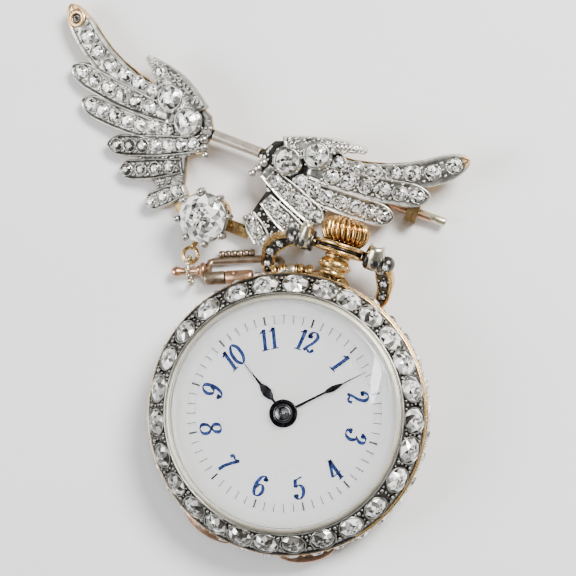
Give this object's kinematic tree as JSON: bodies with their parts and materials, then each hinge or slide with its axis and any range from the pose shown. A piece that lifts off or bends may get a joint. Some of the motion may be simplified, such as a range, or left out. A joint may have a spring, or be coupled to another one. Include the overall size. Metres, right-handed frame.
{
  "type": "chatelaine watch pin",
  "caption": "Winged stone-set brooch with a centre stone, from which a small open-faced fob watch hangs by a swivel hook and a folding bow.",
  "frame": {"origin": "centre of the bounding box seen from above, on the table plane", "axes": "+Z out of the dial and up from the table, +Y from the dial's centre to twelve o'clock, +X to three o'clock"},
  "size_m": [0.046, 0.0444, 0.0079],
  "materials": {
    "rose_gold": "worn polish",
    "gold": "worn polish",
    "pale_gold": "satin",
    "silver": "worn silver",
    "dark_silver": "blackened silver",
    "diamond": "faceted",
    "watch_glass": "clear, domed",
    "enamel": "glossy vitreous enamel",
    "works": "plain",
    "grey_steel": "satin",
    "black_steel": "blued to black"
  },
  "bodies": {
    "brooch": {"brooch_frame": "gold", "left_wing": "silver", "right_wing": "silver", "left_wing_stones": "diamond", "right_wing_stones": "diamond", "left_stone_1": "diamond", "left_stone_2": "diamond", "right_stone_1": "diamond", "right_stone_2": "diamond", "crossbar": "silver", "collet": "silver", "solitaire": "diamond", "swivel_hook": "rose_gold", "swivel_tongue": "rose_gold", "swivel_ring": "pale_gold", "bow": "dark_silver", "bow_stones": "diamond"},
    "watch": {"case_back": "rose_gold", "case_middle": "gold", "side_setting": "dark_silver", "side_stones": "diamond", "bezel": "dark_silver", "bezel_stones": "diamond", "bezel_rim": "pale_gold", "crystal": "watch_glass", "dial": "enamel", "movement": "works", "pendant": "gold"},
    "crown": {"crown": "gold"},
    "minute_hand": {"minute_hand": "black_steel", "centre_arbor": "grey_steel"},
    "hour_hand": {"hour_hand": "black_steel"},
    "pin": {"pin_stem": "rose_gold"}
  },
  "joints": [
    {"name": "watch_tilt", "type": "hinge", "parent": "brooch", "child": "watch", "pos_m": [0.00959, 0.00725, 0.004], "axis": [-1, 0, 0], "range_deg": [0, 90]},
    {"name": "crown_turn", "type": "hinge", "parent": "watch", "child": "crown", "pos_m": [0.00959, 0.00925, 0.004], "axis": [0, 1, 0], "continuous": true},
    {"name": "minute_turn", "type": "hinge", "parent": "watch", "child": "minute_hand", "pos_m": [0.00959, -0.00875, 0.0065], "axis": [0, 0, -1], "continuous": true},
    {"name": "hour_turn", "type": "hinge", "parent": "watch", "child": "hour_hand", "pos_m": [0.00959, -0.00875, 0.0064], "axis": [0, 0, -1], "continuous": true},
    {"name": "pin_open", "type": "hinge", "parent": "brooch", "child": "pin", "pos_m": [-0.0075, 0.01415, 0.00149], "axis": [0.0574, 0.9765, 0.2076], "range_deg": [0, 50]}
  ],
  "couplings": [
    {"joint": "hour_turn", "follows": "minute_turn", "ratio": 0.083333}
  ]
}
